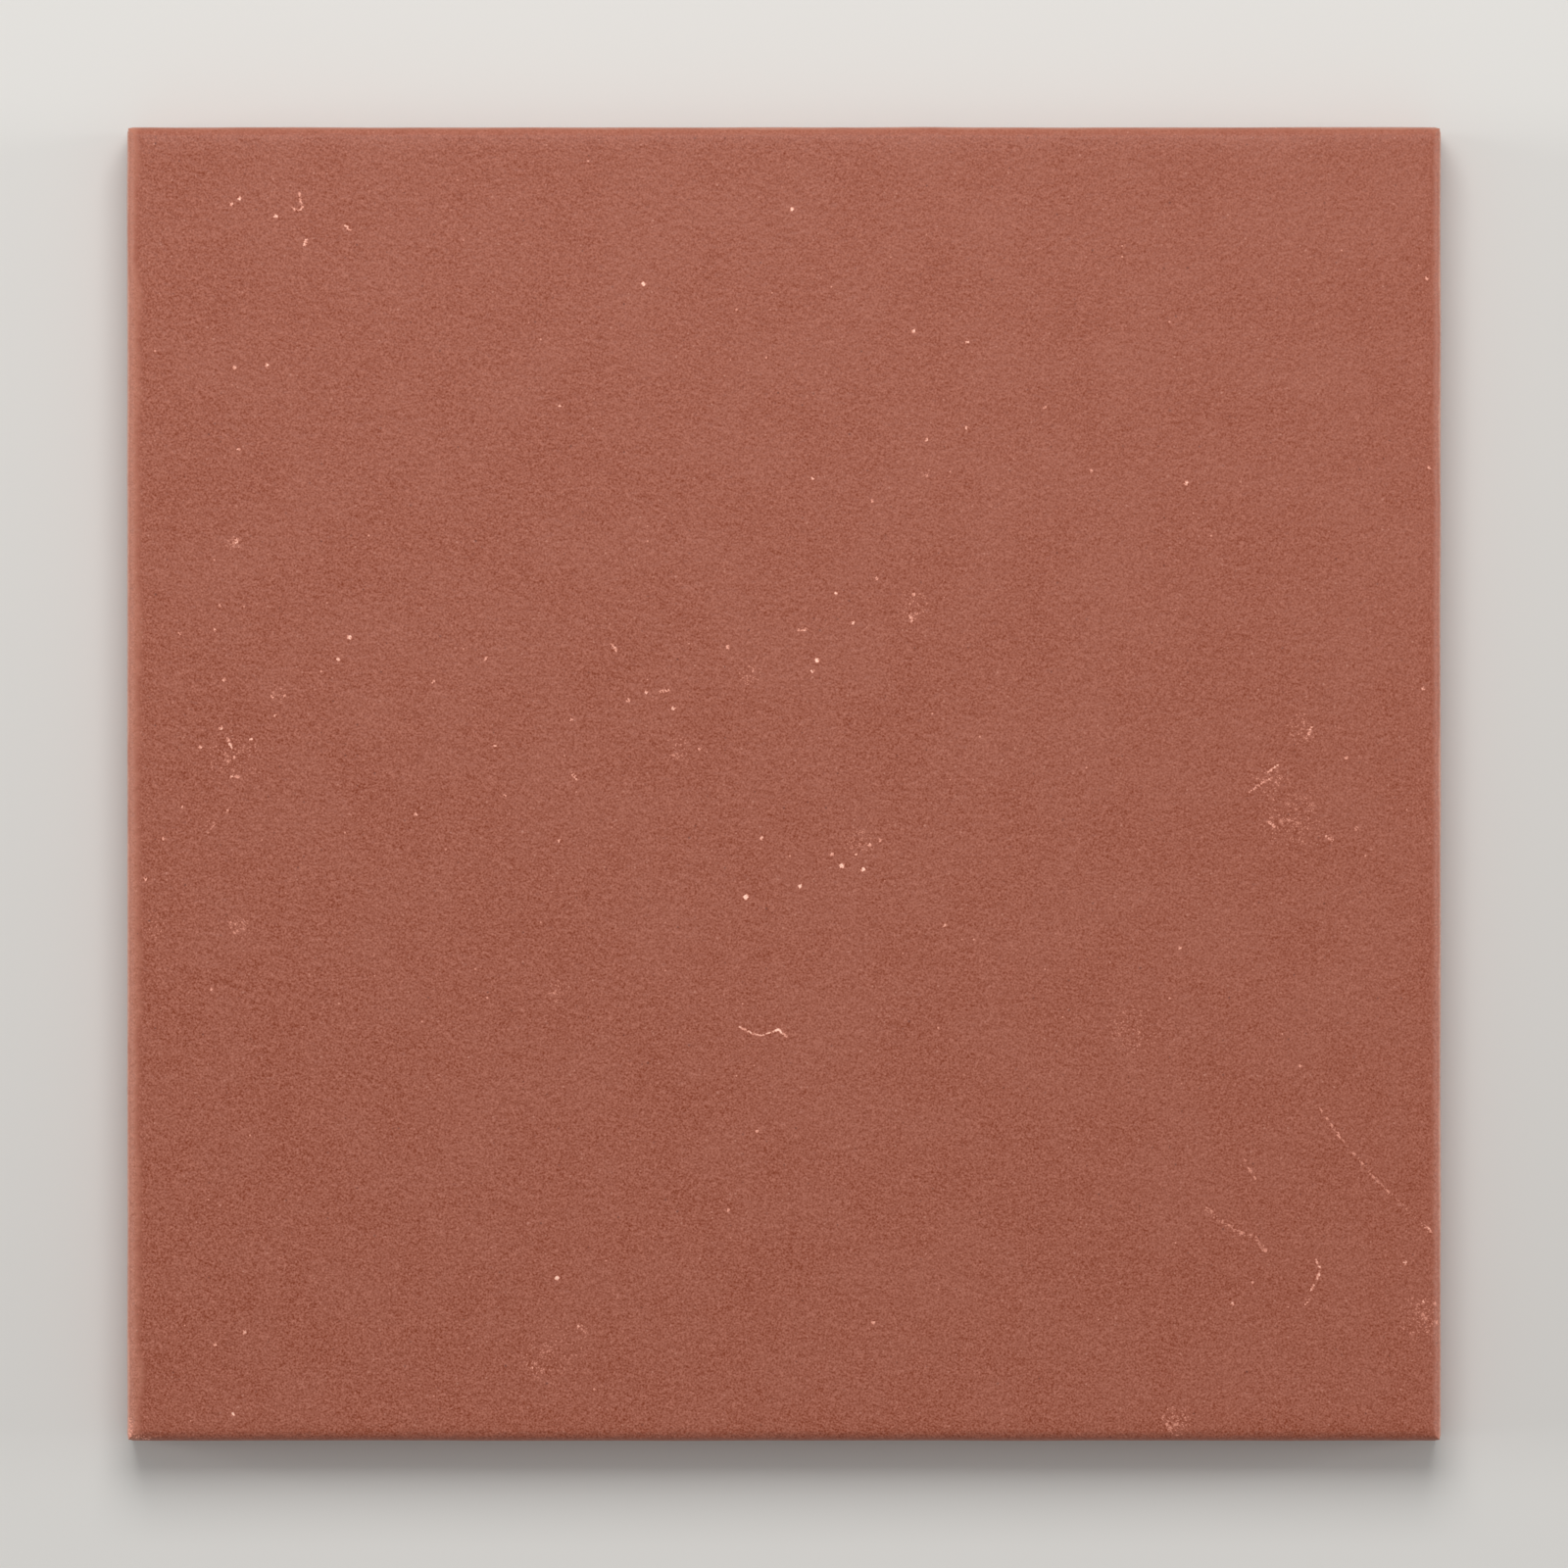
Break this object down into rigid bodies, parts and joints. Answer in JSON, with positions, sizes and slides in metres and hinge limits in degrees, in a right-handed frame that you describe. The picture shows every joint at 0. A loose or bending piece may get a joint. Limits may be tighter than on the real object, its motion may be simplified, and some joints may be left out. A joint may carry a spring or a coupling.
{
  "type": "porcelain floor tile",
  "caption": "Square unglazed porcelain floor tile with rolled arrises, drafted edges and a keyed back of shallow square recesses, laid in adhesive as a hard floor or wall finish.",
  "frame": {"origin": "centre of the tile's back, on the plane of its ribs", "axes": "+Z out of the face, +X and +Y along the edges, with +Y towards the top of the picture"},
  "size_m": [0.148, 0.148, 0.009],
  "materials": {
    "fired_body": "unglazed matt, terracotta red, fine pale grain"
  },
  "bodies": {
    "root": {"tile": "fired_body"}
  },
  "joints": []
}
